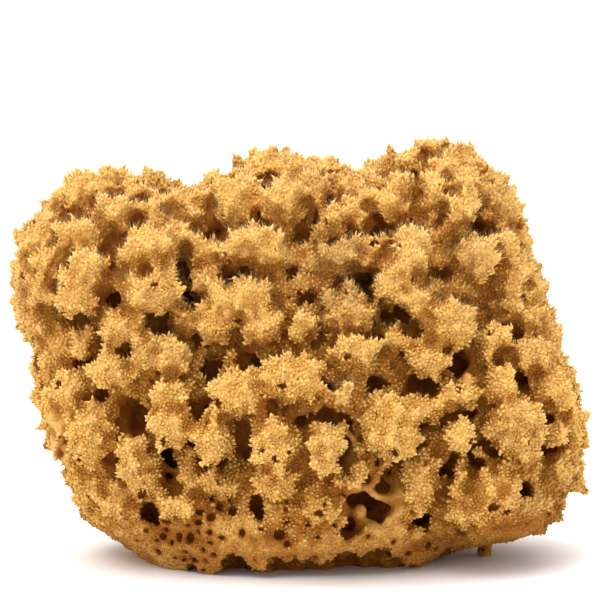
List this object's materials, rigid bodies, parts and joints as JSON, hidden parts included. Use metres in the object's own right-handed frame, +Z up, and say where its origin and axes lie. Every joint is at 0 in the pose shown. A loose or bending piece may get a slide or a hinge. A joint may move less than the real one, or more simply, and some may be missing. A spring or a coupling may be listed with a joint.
{
  "type": "sea sponge",
  "caption": "Natural sea sponge: a rounded tan body of soft tufts pierced by canals, cut flat underneath where it rests.",
  "frame": {"origin": "middle of the object's box, on the flat base", "axes": "+X to the right along the longest extent as seen from the front, +Y from the front to the back, +Z up"},
  "size_m": [0.15, 0.104, 0.108],
  "materials": {
    "sponge": "matte"
  },
  "bodies": {
    "root": {"sponge": "sponge"}
  },
  "joints": []
}
